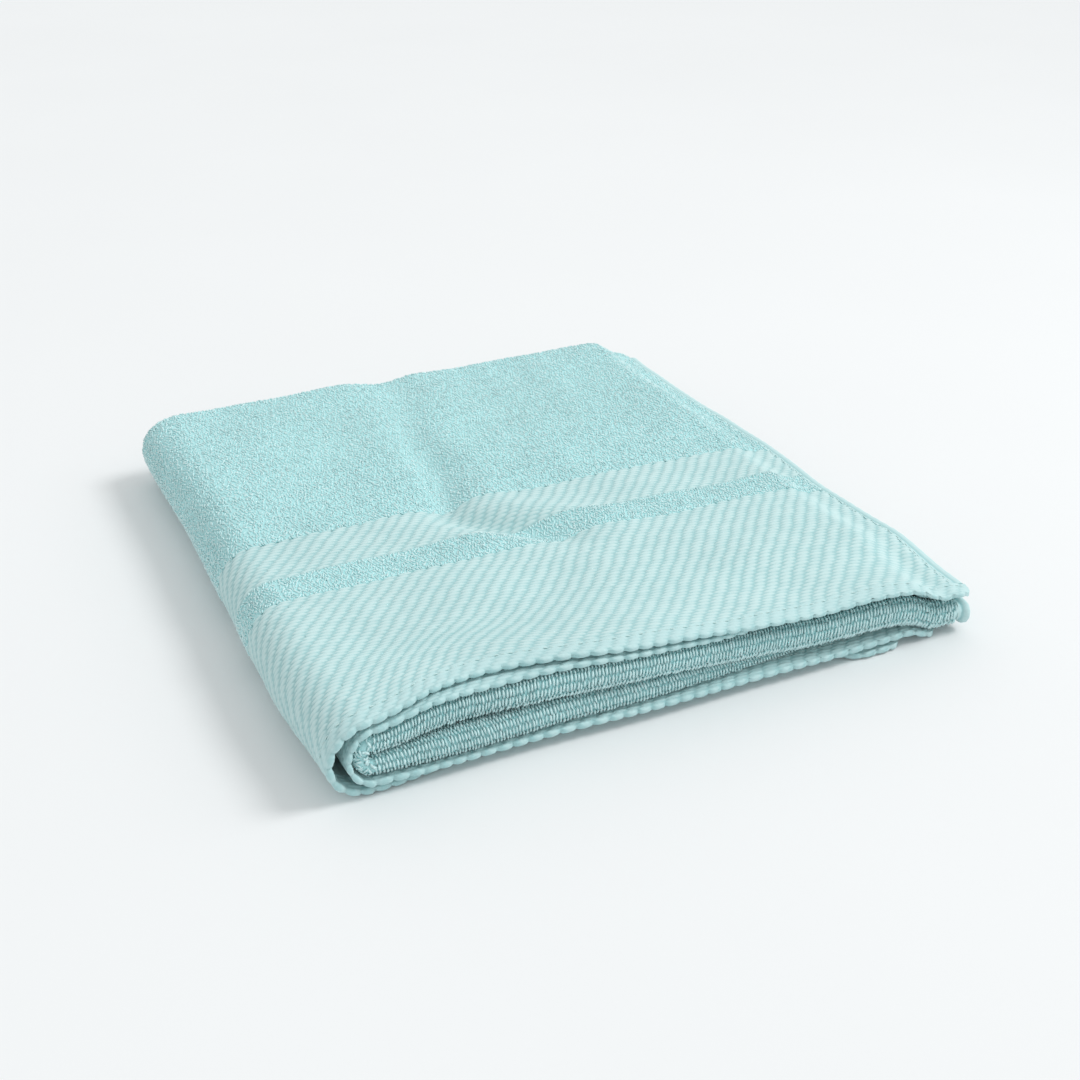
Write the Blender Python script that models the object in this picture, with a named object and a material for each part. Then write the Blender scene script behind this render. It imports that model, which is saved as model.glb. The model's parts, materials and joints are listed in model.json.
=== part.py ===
"""A bath towel folded into a flat stack, for Blender 4.5. Metres, +Z up, origin mid underside.

The cloth is folded in half end to end, in half again, and then in half across its width, so eight plies
lie in two halves of four that open like a book about the round fold on the left (-X). The hems lie at the
front (-Y) and the long edges of the cloth lie at the right (+X). The cloth between the halves, round the
book fold, bends as they open, so its solids are separate from theirs.
"""

import math

import bmesh
import bpy

# Folded stack
FOLDED_WIDTH = 0.350  # from the book fold to the long edges, along X
FOLDED_DEPTH = 0.368  # from the outer hem to the back fold, along Y

# Cloth thicknesses
TERRY_THICKNESS = 0.0049  # ground cloth with loops on both faces
BORDER_THICKNESS = 0.0028  # pique bands, woven without loops
HEM_THICKNESS = 0.0032  # end hem, turned twice and sewn
SIDE_HEM_THICKNESS = 0.0032  # long edge, turned and sewn
THREAD_THICKNESS = 0.0005

# Widths of the bands along the cloth, from its end inwards
END_HEM_WIDTH = 0.012
WIDE_BORDER_WIDTH = 0.102
STRIPE_WIDTH = 0.021
NARROW_BORDER_WIDTH = 0.038
SIDE_HEM_WIDTH = 0.010
SEAM_INSET = 0.0020  # from a hem's inner edge to its stitching
THREAD_WIDTH = 0.0009

# How the folds lie
FRONT_FOLD_SETBACK = 0.004  # the terry fold at the front, behind the outer hem's edge
INNER_HEM_SETBACK = 0.008  # the inner hem's edge, behind the outer hem's edge
LOWER_OUTER_PLY_SHORT = 0.037  # the outermost lower ply stops this far from the right edge
LOWER_SECOND_PLY_SHORT = 0.015  # and the ply on it this far
SETTLE_LENGTH = 0.037  # the plies above come down over this length where a ply stops
FOLD_CORE_RADIUS = 0.0005  # tightest bend, at the heart of the book fold, and half the gap it leaves

# Clearances
PLY_GAP = 0.0005  # between one ply and the next
BAND_GAP = 0.0003  # between neighbouring bands of one ply, and between a half and the book fold
SEAM_GAP = 0.0003  # between a hem and its thread

# Fineness of the solids
BOOK_FOLD_STEPS = 14
WIDE_BEND_STEPS = 8
TIGHT_BEND_STEPS = 6
SETTLE_STEPS = 10
SKEWED_RUN_STEPS = 8  # along a ply whose long edge isn't square to its hem
EDGE_STRIP_STEPS = 3

SHARP_ANGLE = math.radians(40)

PLIES = 4  # in each half
PLY_ROOM = max(
    TERRY_THICKNESS,
    HEM_THICKNESS + 2 * (SEAM_GAP + THREAD_THICKNESS),
    SIDE_HEM_THICKNESS + 2 * (SEAM_GAP + THREAD_THICKNESS),
)
PLY_PITCH = PLY_ROOM + PLY_GAP
BOOK_RADIUS = FOLD_CORE_RADIUS + PLIES * PLY_ROOM + (PLIES - 1) * PLY_GAP
FRONT = -FOLDED_DEPTH / 2
WIDE_BEND_RADIUS = 1.5 * PLY_PITCH  # joins the first ply to the fourth
TIGHT_BEND_RADIUS = PLY_PITCH / 2  # joins two plies that lie together
BACK_CENTRE = FOLDED_DEPTH / 2 - WIDE_BEND_RADIUS - TERRY_THICKNESS / 2
FRONT_CENTRE = FRONT + FRONT_FOLD_SETBACK + TIGHT_BEND_RADIUS + TERRY_THICKNESS / 2

MATERIALS = {
    "terry": ((0.42, 0.70, 0.71), 0.95),
    "pique": ((0.60, 0.82, 0.81), 0.85),
    "hem": ((0.52, 0.76, 0.76), 0.90),
    "thread": ((0.66, 0.84, 0.83), 0.70),
}


def ply_radius(ply):
    """Height of a ply's middle above the plane between the halves. Ply 0 is the innermost."""
    return FOLD_CORE_RADIUS + PLY_ROOM / 2 + ply * PLY_PITCH


def smooth(t):
    """0 to 1 with a level start and end."""
    t = min(max(t, 0.0), 1.0)
    return t * t * (3 - 2 * t)


def right_end(ply, at_back, lower):
    """Distance from the book fold to a ply's long edge, at the front or at the back.

    Two plies joined by a bend have the same end there. The two innermost plies of the lower half reach
    the full width at the front only.
    """
    if not lower or (ply in (0, 1) and not at_back):
        return FOLDED_WIDTH
    return FOLDED_WIDTH - (LOWER_OUTER_PLY_SHORT if ply in (0, 3) else LOWER_SECOND_PLY_SHORT)


def settle(x):
    """How far the plies have come down, x from the book fold, past the ends of the plies under them."""
    first_stop = FOLDED_WIDTH - LOWER_OUTER_PLY_SHORT
    second_stop = FOLDED_WIDTH - LOWER_SECOND_PLY_SHORT
    drops = (smooth((x - stop) / SETTLE_LENGTH) for stop in (first_stop, second_stop))
    return PLY_PITCH * sum(drops)


def straight(ply, start_y, end_y, lower):
    """A level run of a ply: points as (y, radius, direction angle, right end)."""
    heading = 0.0 if end_y > start_y else math.pi
    front, back = right_end(ply, False, lower), right_end(ply, True, lower)
    steps = 1 if front == back else SKEWED_RUN_STEPS
    row = []
    for step in range(steps + 1):
        y = start_y + (end_y - start_y) * step / steps
        share = (y - FRONT_CENTRE) / (BACK_CENTRE - FRONT_CENTRE)
        row.append((y, ply_radius(ply), heading, front + share * (back - front)))
    return row


def bend(centre_y, from_ply, to_ply, side, steps, lower):
    """A half turn from one ply to another, about centre_y. side is 1 at the back and -1 at the front."""
    middle = (ply_radius(from_ply) + ply_radius(to_ply)) / 2
    reach = (ply_radius(from_ply) - ply_radius(to_ply)) / 2
    end = right_end(from_ply, side > 0, lower)
    row = []
    for step in range(1, steps):
        turn = math.pi * step / steps
        y = centre_y + side * abs(reach) * math.sin(turn)
        radius = middle + reach * math.cos(turn)
        heading = -side * math.copysign(turn, reach) + (0.0 if side > 0 else math.pi)
        row.append((y, radius, heading, end))
    return row


def whole_cloth(lower, outer_start, inner_end):
    """The cloth's middle line from one end band, round the three bends, to the other end band."""
    return (
        straight(3, outer_start, BACK_CENTRE, lower)
        + bend(BACK_CENTRE, 3, 0, 1, WIDE_BEND_STEPS, lower)
        + straight(0, BACK_CENTRE, FRONT_CENTRE, lower)
        + bend(FRONT_CENTRE, 0, 1, -1, TIGHT_BEND_STEPS, lower)
        + straight(1, FRONT_CENTRE, BACK_CENTRE, lower)
        + bend(BACK_CENTRE, 1, 2, 1, TIGHT_BEND_STEPS, lower)
        + straight(2, BACK_CENTRE, inner_end, lower)
    )


def section(row, thickness, lift=0.0):
    """The two faces of a band along its middle line, as (y, radius, right end). lift moves both out."""
    pairs = []
    for y, radius, heading, end in row:
        faces = []
        for offset in (lift + thickness / 2, lift - thickness / 2):
            faces.append((y - offset * math.sin(heading), radius + offset * math.cos(heading), end))
        pairs.append(faces)
    return pairs


def turned(angle):
    """A station round the book fold. A station takes a radius and a right end to (x, height)."""
    return lambda radius, end: (BOOK_RADIUS - radius * math.sin(angle), radius * math.cos(angle))


def along(side, share, first, inset):
    """A station a share of the way from x = first to the right end, above (1) or below (-1) the middle."""
    return lambda radius, end: (first + share * (end - inset - first), side * radius)


def book_fold():
    """Stations from the upper half, round the book fold, to the lower half."""
    return [turned(math.pi * step / BOOK_FOLD_STEPS) for step in range(BOOK_FOLD_STEPS + 1)]


def flat_run(side, inset):
    """Stations of a band from the book fold to its right end, which it stops short of by inset."""
    settling = FOLDED_WIDTH - LOWER_OUTER_PLY_SHORT - SETTLE_LENGTH
    start = along(side, 0.0, BOOK_RADIUS + BAND_GAP, inset)
    shares = [step / SETTLE_STEPS for step in range(SETTLE_STEPS + 1)]
    return [start] + [along(side, share, settling, inset) for share in shares]


def edge_strip(side, width, inset):
    """Stations of a strip of the given width beside the long edge."""
    insets = [inset + width * (1 - step / EDGE_STRIP_STEPS) for step in range(EDGE_STRIP_STEPS + 1)]
    return [along(side, 1.0, 0.0, depth) for depth in insets]


def place(point, station):
    """A section point at a station, measured from the book fold's axis."""
    y, radius, end = point
    x, height = station(radius, end)
    return x - BOOK_RADIUS, y, height - settle(x)


def add_solid(name, pairs, stations, material, pivot):
    """Skin a band through its stations and close both ends."""
    made = bmesh.new()
    rings = []
    for station in stations:
        outer = [made.verts.new(place(pair[0], station)) for pair in pairs]
        inner = [made.verts.new(place(pair[1], station)) for pair in pairs]
        rings.append(outer + inner[::-1])
    count = len(rings[0])
    for ring, following in zip(rings, rings[1:]):
        for i in range(count):
            j = (i + 1) % count
            made.faces.new((ring[i], ring[j], following[j], following[i]))
    for ring in (rings[0], rings[-1]):
        for i in range(len(pairs) - 1):
            made.faces.new((ring[i], ring[i + 1], ring[count - 2 - i], ring[count - 1 - i]))
    bmesh.ops.recalc_face_normals(made, faces=made.faces)
    mesh = bpy.data.meshes.new(name)
    made.to_mesh(mesh)
    made.free()
    mesh.shade_smooth()
    mesh.set_sharp_from_angle(angle=SHARP_ANGLE)
    mesh.materials.append(material)
    solid = bpy.data.objects.new(name, mesh)
    solid.parent = pivot
    bpy.context.scene.collection.objects.link(solid)


def cloth_material(name, colour, roughness):
    made = bpy.data.materials.new(name)
    made.use_nodes = True
    shader = made.node_tree.nodes["Principled BSDF"]
    shader.inputs["Base Color"].default_value = (*colour, 1.0)
    shader.inputs["Roughness"].default_value = roughness
    shader.inputs["Metallic"].default_value = 0.0
    return made


def end_bands():
    """Start and end of each band from the cloth's end inwards, with its thickness and finish."""
    plan = (
        ("end_hem", END_HEM_WIDTH, HEM_THICKNESS, "hem"),
        ("wide_border", WIDE_BORDER_WIDTH, BORDER_THICKNESS, "pique"),
        ("terry_stripe", STRIPE_WIDTH, TERRY_THICKNESS, "terry"),
        ("narrow_border", NARROW_BORDER_WIDTH, BORDER_THICKNESS, "pique"),
    )
    start = 0.0
    bands = []
    for name, width, thickness, finish in plan:
        bands.append((name, start, start + width, thickness, finish))
        start += width + BAND_GAP
    return bands, start


def add_bands(which, side, pivot, materials):
    """The four plies of one half, or of the book fold, from the outer hem to the inner hem.

    side is 1 for the upper half, -1 for the lower half and 0 for the book fold.
    """
    lower = side < 0
    bands, terry_start = end_bands()
    past_side_hem = SIDE_HEM_WIDTH + BAND_GAP
    thread_lift = (HEM_THICKNESS + THREAD_THICKNESS) / 2 + SEAM_GAP

    def add(name, row, thickness, inset, finish, lift=0.0):
        stations = flat_run(side, inset) if side else book_fold()
        pairs = section(row, thickness, lift)
        add_solid(f"{name}_{which}", pairs, stations, materials[finish], pivot)

    for ply_name, ply, edge in (("outer", 3, FRONT), ("inner", 2, FRONT + INNER_HEM_SETBACK)):
        for name, start, end, thickness, finish in bands:
            inset = 0.0 if name == "end_hem" else past_side_hem
            row = straight(ply, edge + start, edge + end, lower)
            add(f"{name}_{ply_name}", row, thickness, inset, finish)
        seam = edge + END_HEM_WIDTH - SEAM_INSET
        row = straight(ply, seam - THREAD_WIDTH, seam, lower)
        add(f"end_hem_thread_{ply_name}", row, THREAD_THICKNESS, SEAM_INSET, "thread", thread_lift)

    row = whole_cloth(lower, FRONT + terry_start, FRONT + INNER_HEM_SETBACK + terry_start)
    add("terry_field", row, TERRY_THICKNESS, past_side_hem, "terry")


def add_side_hem(which, side, pivot, materials):
    """The sewn long edge of one half, which follows the cloth round its bends."""
    start = FRONT + END_HEM_WIDTH + BAND_GAP
    row = whole_cloth(side < 0, start, start + INNER_HEM_SETBACK)
    hem = section(row, SIDE_HEM_THICKNESS)
    add_solid(f"side_hem_{which}", hem, edge_strip(side, SIDE_HEM_WIDTH, 0.0), materials["hem"], pivot)
    lift = (SIDE_HEM_THICKNESS + THREAD_THICKNESS) / 2 + SEAM_GAP
    seam = section(row, THREAD_THICKNESS, lift)
    stations = edge_strip(side, THREAD_WIDTH, SIDE_HEM_WIDTH - SEAM_INSET)
    add_solid(f"side_hem_thread_{which}", seam, stations, materials["thread"], pivot)


def add_pivot(name):
    """An empty on the book fold's axis, which is the hinge's."""
    pivot = bpy.data.objects.new(name, None)
    pivot.location = (BOOK_RADIUS - FOLDED_WIDTH / 2, 0.0, BOOK_RADIUS)
    bpy.context.scene.collection.objects.link(pivot)
    return pivot


def main():
    for old in list(bpy.data.objects):
        bpy.data.objects.remove(old, do_unlink=True)
    materials = {name: cloth_material(name, *look) for name, look in MATERIALS.items()}
    for which, side in (("lower", -1), ("upper", 1), ("book_fold", 0)):
        pivot = add_pivot(f"{which}_pivot")
        add_bands(which, side, pivot, materials)
        if side:
            add_side_hem(which, side, pivot, materials)


main()
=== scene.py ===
"""A bath towel of cotton terry with two woven pique borders, folded in four and then once more.

Run it as a script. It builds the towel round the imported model: thin closed cloths for each band and half,
the terry loops that stand on them, the sewn hems and their stitches, and the stage. The sizes and colours
are in the sidebar of the 3D view, under Towel.
"""

import json
import math

import bpy
import numpy as np
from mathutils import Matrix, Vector


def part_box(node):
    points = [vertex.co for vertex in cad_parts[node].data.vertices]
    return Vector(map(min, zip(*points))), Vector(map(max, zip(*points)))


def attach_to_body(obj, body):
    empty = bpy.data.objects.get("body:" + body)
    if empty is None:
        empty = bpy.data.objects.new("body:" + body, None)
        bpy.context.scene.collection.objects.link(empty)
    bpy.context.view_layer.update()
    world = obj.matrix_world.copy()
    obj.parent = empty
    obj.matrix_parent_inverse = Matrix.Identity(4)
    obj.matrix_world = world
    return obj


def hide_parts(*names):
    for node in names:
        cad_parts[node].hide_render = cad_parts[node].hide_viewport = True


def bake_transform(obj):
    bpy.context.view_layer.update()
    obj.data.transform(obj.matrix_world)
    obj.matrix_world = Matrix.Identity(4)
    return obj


bl_info = {
    "name": "Folded Bath Towel",
    "version": (1, 0, 0),
    "blender": (4, 5, 0),
    "location": "View3D > Sidebar > Towel",
    "description": "Builds a folded terry bath towel with woven borders",
    "category": "Object",
}

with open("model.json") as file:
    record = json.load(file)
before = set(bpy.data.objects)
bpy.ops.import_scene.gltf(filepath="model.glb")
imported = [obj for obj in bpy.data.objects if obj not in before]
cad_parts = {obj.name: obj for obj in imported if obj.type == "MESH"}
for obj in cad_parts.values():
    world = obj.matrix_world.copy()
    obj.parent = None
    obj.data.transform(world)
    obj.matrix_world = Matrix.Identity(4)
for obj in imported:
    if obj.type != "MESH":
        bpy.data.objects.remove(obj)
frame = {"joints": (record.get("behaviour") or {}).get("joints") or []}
bpy.context.view_layer.update()

MM = 0.001
TURN = 2 * math.pi
HALVES = ("upper", "lower", "book_fold")
BODIES = {"upper": "upper_half", "lower": "lower_half"}


def low(node):
    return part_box(node)[0]


def high(node):
    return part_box(node)[1]


# The book fold's axis, and how the plies lie round it.
AXIS_X, _, AXIS_Z = frame["joints"][0]["pos_m"]
CLOTH = high("terry_stripe_outer_lower").z - low("terry_stripe_outer_lower").z
BORDER = high("wide_border_outer_lower").z - low("wide_border_outer_lower").z
HEM = high("end_hem_outer_lower").z - low("end_hem_outer_lower").z
OUTER_RADIUS = AXIS_X - low("end_hem_outer_book_fold").x - HEM / 2
PITCH = OUTER_RADIUS - (AXIS_X - low("end_hem_inner_book_fold").x - HEM / 2)
RADII = [OUTER_RADIUS - PITCH * (3 - ply) for ply in range(4)]
FRONT, INNER_FRONT = low("end_hem_outer_upper").y, low("end_hem_inner_upper").y
BACK_CENTRE = high("terry_field_upper").y - CLOTH / 2 - 1.5 * PITCH
FRONT_CENTRE = low("terry_field_upper").y + CLOTH / 2 + 0.5 * PITCH
SIDE_HEM = high("side_hem_upper").x - low("side_hem_upper").x
RIGHT = high("side_hem_upper").x
OUTER_STOP, SECOND_STOP = high("end_hem_outer_lower").x, high("end_hem_inner_lower").x

# The cloth's path from its outer hem to its inner one: start, length, centre or start (y, radius), turning
# radius, first angle and which way it turns. A turning radius of 0 is a level run.
WIDE, TIGHT = 1.5 * PITCH, 0.5 * PITCH
PATH = (
    (BACK_CENTRE - FRONT, (FRONT, RADII[3]), 0.0, 0.0, 1),
    (math.pi * WIDE, (BACK_CENTRE, RADII[0] + WIDE), WIDE, math.pi / 2, -1),
    (BACK_CENTRE - FRONT_CENTRE, (BACK_CENTRE, RADII[0]), 0.0, 0.0, -1),
    (math.pi * TIGHT, (FRONT_CENTRE, RADII[0] + TIGHT), TIGHT, -math.pi / 2, -1),
    (BACK_CENTRE - FRONT_CENTRE, (FRONT_CENTRE, RADII[1]), 0.0, 0.0, 1),
    (math.pi * TIGHT, (BACK_CENTRE, RADII[1] + TIGHT), TIGHT, -math.pi / 2, 1),
    (BACK_CENTRE - INNER_FRONT, (BACK_CENTRE, RADII[2]), 0.0, 0.0, -1),
)
STOPS = np.concatenate([[0.0], np.cumsum([run[0] for run in PATH])])
LENGTH = float(STOPS[-1])
CORNER = 12 * MM  # how far along each long edge the towel's corners are rounded
SETTLE_LENGTH = 0.5 * (RIGHT - OUTER_STOP)
LOWER_ENDS = (OUTER_STOP, OUTER_STOP, OUTER_STOP, RIGHT, RIGHT, SECOND_STOP, SECOND_STOP, SECOND_STOP)


def _between(first, second):
    return (high(f"{first}_outer_upper").y + low(f"{second}_outer_upper").y) / 2 - FRONT


# Distances from a raw end of the towel to where one band changes to the next.
HEM_END = _between("end_hem", "wide_border")
WIDE_END = _between("wide_border", "terry_stripe")
STRIPE_END = _between("terry_stripe", "narrow_border")
BAND_GAP = 0.3 * MM
NARROW_END = HEM_END + (high("narrow_border_outer_upper").y - low("wide_border_outer_upper").y) + BAND_GAP
BANDS = {
    "end_hem": (0.0, HEM_END),
    "wide_border": (HEM_END, WIDE_END),
    "terry_stripe": (WIDE_END, STRIPE_END),
    "narrow_border": (STRIPE_END, NARROW_END),
}


# ---- sizes and colours in the sidebar


def length_property(name, description, default_mm, least_mm):
    return bpy.props.FloatProperty(
        name=name, description=description, default=default_mm * MM, min=least_mm * MM, precision=5, unit="LENGTH"
    )


class TowelSizes(bpy.types.PropertyGroup):
    loop_pitch: length_property("Loop pitch", "Distance from one terry loop to the next on the field", 2.2, 1.0)
    loop_height: length_property("Loop height", "How far a terry loop stands over the ground weave", 1.2, 0.5)
    yarn: length_property("Pile yarn radius", "Half the thickness of the yarn in a loop", 0.60, 0.1)
    pique_pitch: length_property("Pique pitch", "From one diagonal of the borders to the next, across", 7.8, 1.5)
    pique_row: length_property("Pique row", "Distance from one row of floats to the next", 2.4, 1.0)
    pique_relief: length_property("Pique relief", "How far the grains stand over the pits", 0.88, 0.0)
    rib_pitch: length_property("Hem rib pitch", "Distance between the pinches of the overlocked hem edge", 8.0, 2.0)
    stitch_pitch: length_property("Stitch pitch", "Distance from one stitch of a hem seam to the next", 3.3, 1.5)


def colour_property(name, description, hex_value):
    return bpy.props.FloatVectorProperty(
        name=name, description=description, subtype="COLOR", size=3, min=0.0, max=1.0, default=linear(hex_value)
    )


def linear(hex_value):
    """An sRGB hex colour as linear red, green and blue."""
    parts = [int(hex_value[i : i + 2], 16) / 255 for i in (1, 3, 5)]
    return tuple(p / 12.92 if p <= 0.04045 else ((p + 0.055) / 1.055) ** 2.4 for p in parts)


class TowelColours(bpy.types.PropertyGroup):
    terry: colour_property("Terry", "Tips of the terry loops", "#D6F4F5")
    # The deep terry colour is painted shade, for the foot of the loops and the ground between them.
    terry_deep: colour_property("Terry, deep", "Foot of the loops and the ground between them", "#B4E4E6")
    pique: colour_property("Pique", "Raised grains of the woven borders", "#C6E2E2")
    # The deep pique colour is painted shade, for the pits between the grains.
    pique_deep: colour_property("Pique, deep", "Pits between the grains", "#A4CED0")
    hem: colour_property("Hem", "Sewn and overlocked hems", "#BFDFE0")
    thread: colour_property("Thread", "Sewing thread of the hems", "#CBE5E4")
    floor: colour_property("Floor", "Painted floor of the stage", "#EBEDEE")
    light: colour_property("Room light", "Colour of the soft light from all round", "#F8F9F9")


def towel_sizes():
    return bpy.context.scene.towel_sizes


# ---- where the folded cloth lies


def smooth(t):
    t = np.clip(t, 0.0, 1.0)
    return t * t * (3 - 2 * t)


def ease(value, start, length):
    """0 up to start, 1 from start + length, and smooth between them."""
    return smooth((value - start) / length)


def hump(value, middle, width):
    """1 at the middle, falling off smoothly on both sides of it."""
    t = (value - middle) / width
    return np.exp(-t * t)


def waves(value, parts):
    """A sum of sine waves, each given as its height, its length and its phase."""
    return sum(height * np.sin(TURN * value / length + phase) for height, length, phase in parts)


def section(s):
    """For distances s along the cloth: y, radius from the book fold's axis, and the way its face points."""
    run = np.clip(np.searchsorted(STOPS, s, side="right") - 1, 0, len(PATH) - 1)
    y, r, face_y, face_r = (np.empty(np.shape(s)) for _ in range(4))
    for index, (_, (start_y, start_r), turning, first, way) in enumerate(PATH):
        here = run == index
        gone = s[here] - STOPS[index]
        if turning:
            angle = first + way * gone / turning
            y[here] = start_y + turning * np.cos(angle)
            r[here] = start_r + turning * np.sin(angle)
            face_y[here], face_r[here] = -way * np.cos(angle), -way * np.sin(angle)
        else:
            y[here], r[here] = start_y + way * gone, start_r
            face_y[here], face_r[here] = 0.0, way
    return y, r, face_y, face_r


def right_end(half, s):
    """Where each point of the cloth's length has its sewn long edge, with the towel's rounded corners."""
    to_end = np.clip(np.minimum(s, LENGTH - s) / CORNER, 0, 1)
    cut = CORNER * (1 - np.sqrt(1 - (1 - to_end) ** 2))
    return (RIGHT if half == "upper" else np.interp(s, STOPS, LOWER_ENDS)) - cut


def settle(x):
    """How far the plies come down past the ends of the plies under them."""
    return PITCH * sum(ease(x, stop, SETTLE_LENGTH) for stop in (OUTER_STOP, SECOND_STOP))


# Heights of the gaps between plies, as cut square and as they lie at the front, where the hems lie close
# together and the upper terry fold stands full over the lower one, less so at the right.
SQUARE_HEIGHTS = [AXIS_Z + PITCH * step for step in (-4, -3, -2, 0, 2, 3, 4)]
FRONT_HEIGHTS = [h * MM for h in (0.0, 4.9, 9.8, 22.6, 36.3, 40.6, 45.0)]
FRONT_HEIGHTS_RIGHT = [h * MM for h in (0.0, 4.9, 10.2, 13.2, 29.4, 33.4, 37.4)]

# What moves the cloth from where it would lie if folded dead square. A pair is where a move starts and over
# what length it grows, or its middle and width. Places and lengths are in metres, and depths and moves in mm.
TO_RIGHT, TO_FRONT = (-0.01, 0.11), (0.118, 0.045)  # where the heights above take over
END_REACH, FOLD_REACH, REACH = 0.065, 0.060, 0.045  # how far along the cloth a hem's or a fold's move is felt
HEM_WAVES = ((1.0, 0.29, 0.6), (0.5, 0.117, 2.1))
FOLD_WAVES = ((1.0, 0.21, 2.4), (0.4, 0.083, 0.0))
DRAWN = (-0.088, 0.052)  # near the left the upper plies are drawn back, the outermost one most
LEFT, LOWER_LEFT, ENDED = (-0.075, 0.06), (-0.150, 0.05), (0.095, 0.02)
OUTER_WAVE, OUTER_DRAWN, INNER_LEFT, INNER_DRAWN = 1.3, 17.0, 6.0, 8.0
FOLD_BACK, FOLD_WAVE, FOLD_DRAWN = 2.2, 1.1, 6.0
LOWER_BACK, LOWER_MORE, LOWER_ENDED, LOWER_WAVE = 5.5, 5.0, 8.5, 0.8
LOWER_FOLD, LOWER_FOLD_WAVE = 8.0, 0.6


def front_shift(s, x, lower):
    """How far the front ends and folds of the plies stand back from, or beyond, their square places."""
    outer, inner = smooth((END_REACH - s) / REACH), smooth((s - LENGTH + END_REACH) / REACH)
    fold = smooth((FOLD_REACH - np.abs(s - (STOPS[3] + STOPS[4]) / 2)) / REACH)
    wave, ripple, drawn = waves(x, HEM_WAVES), waves(x, FOLD_WAVES), hump(x, *DRAWN)
    upper_shift = outer * (OUTER_WAVE * wave + OUTER_DRAWN * drawn) * MM
    upper_shift = upper_shift - inner * (INNER_LEFT * ease(-x, *LEFT) - INNER_DRAWN * drawn) * MM
    upper_shift = upper_shift - fold * (FOLD_BACK + FOLD_WAVE * ripple - FOLD_DRAWN * drawn) * MM
    outer_back = LOWER_BACK + LOWER_MORE * ease(x, *LOWER_LEFT) - LOWER_ENDED * ease(x, *ENDED)
    fold_back = LOWER_FOLD * ease(x, *TO_RIGHT) - LOWER_FOLD_WAVE + LOWER_FOLD_WAVE * ripple
    lower_shift = outer * outer_back * MM - inner * (LOWER_BACK + LOWER_WAVE * wave) * MM + fold * fold_back * MM
    return upper_shift * (1 - lower) + lower_shift * lower


FROM_FOLD, TO_BACK = 0.035, (-0.06, 0.22)
THIN, THIN_FRONT, THIN_BACK = (0.135, 0.045), 0.05, 0.17  # the share by which the stack thins at the right
# The crease comes down the field leaning left, then turns right across the borders and runs out there.
LINE_X, LINE_Y, LINE_LEAN, LINE_WAVE = -0.017, 0.18, 0.145, ((0.002, 0.11, 0.0),)
TURNED, TURNED_BY = (0.012, 0.07), 0.055
KNEE, KNEE_SPREAD, BORDER_AREA = (-0.047, 0.028), 0.36, (-0.045, 0.040)
CREASE_WIDTH, CREASE_WIDENS = 0.0085, 0.006
CREASE_DEPTH, CREASE_DEEPENS, CREASE_END = 4.4, 0.8, (-0.098, 0.045)
LEFT_BANK, LEFT_BANK_SHARE = (-0.024, 0.017), 0.40
RIGHT_BANK, RIGHT_BANK_SHARE, RIGHT_BANK_BORDER = (0.022, 0.014), 0.35, 0.45
SHALLOWER, SHALLOWER_SHARE, SINKS = (0.06, 0.12), 0.5, 1.4
# Where it runs out, the cloth puckers up in front of it.
PUCKER_X, PUCKER_Y, PUCKER_UP, PUCKER_BACK = (0.008, 0.018), (-0.080, 0.014), 1.8, 3.0
KNEE_BACK, KNEE_BACK_BY = (-0.004, 0.012), 2.5
# Low swells: share of SWELL, length across, length along, and phase.
SWELL = 0.6
SWELLS = ((1.0, 0.173, 0.31, 0.4), (0.6, 0.092, -0.127, 1.9), (0.45, 0.061, 0.071, 4.0), (0.3, -0.088, 0.043, 0.0))
EDGE, EDGE_WAVES, EDGE_FRONT, EDGE_OUT = (0.08, 0.09), ((1.2, 0.19, 1.0),), (0.03, 0.13), 6.0
# The rolled fold bulges at the back corner and is drawn in at the front one.
FRONT_CORNER, FRONT_CORNER_REACH, DRAWN_IN = (0.105, 0.08), 0.09, 6.0
BACK_CORNER, BACK_CORNER_REACH, BULGE = (0.06, 0.10), 0.024, 3.6


def relax(x, y, z):
    """The soft lie of the whole stack: its crease, its low swells and how it thins to the right."""
    height = np.clip(z / (2 * AXIS_Z), 0, 1.2)
    back = ease(y, *TO_BACK)
    line = LINE_X + LINE_LEAN * (y - LINE_Y) + TURNED_BY * ease(-y, *TURNED) + waves(y, LINE_WAVE)
    away = (x - line) * (1 - KNEE_SPREAD * hump(y, *KNEE))
    border = hump(y, *BORDER_AREA)
    banks = LEFT_BANK_SHARE * hump(away, *LEFT_BANK)
    banks = banks + (RIGHT_BANK_SHARE + RIGHT_BANK_BORDER * border) * hump(away, *RIGHT_BANK)
    valley = banks - hump(away, 0.0, CREASE_WIDTH + CREASE_WIDENS * back)
    crease = (CREASE_DEPTH + CREASE_DEEPENS * border) * MM * valley
    crease = crease * ease(y, *CREASE_END) * (1 - SHALLOWER_SHARE * ease(y, *SHALLOWER))
    pucker = hump(x, *PUCKER_X) * hump(y, *PUCKER_Y)
    crease = (crease + PUCKER_UP * MM * pucker) * height**SINKS
    swell = sum(share * np.sin(TURN * (x / across + y / along) + phase) for share, across, along, phase in SWELLS)
    z = z * (1 - ease(x, *THIN) * (THIN_FRONT + THIN_BACK * back))
    z = z + ease(x, AXIS_X, FROM_FOLD) * (crease + SWELL * MM * swell * height)
    y = y + (PUCKER_BACK * pucker + KNEE_BACK_BY * border * hump(away, *KNEE_BACK)) * MM * height**2
    x = x + ease(x, *EDGE) * (waves(y, EDGE_WAVES) + EDGE_OUT * ease(-y, *EDGE_FRONT)) * MM
    x = x + DRAWN_IN * MM * ease(-y, *FRONT_CORNER) * (1 - ease(x, AXIS_X, FRONT_CORNER_REACH))
    x = x - BULGE * MM * ease(-x, -AXIS_X, BACK_CORNER_REACH) * ease(y, *BACK_CORNER)
    return x, y, z


SLACK, SLACK_SHARE = (0.06, 0.09), 0.25  # how the inner plies go in round the book fold, towards the front
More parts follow.
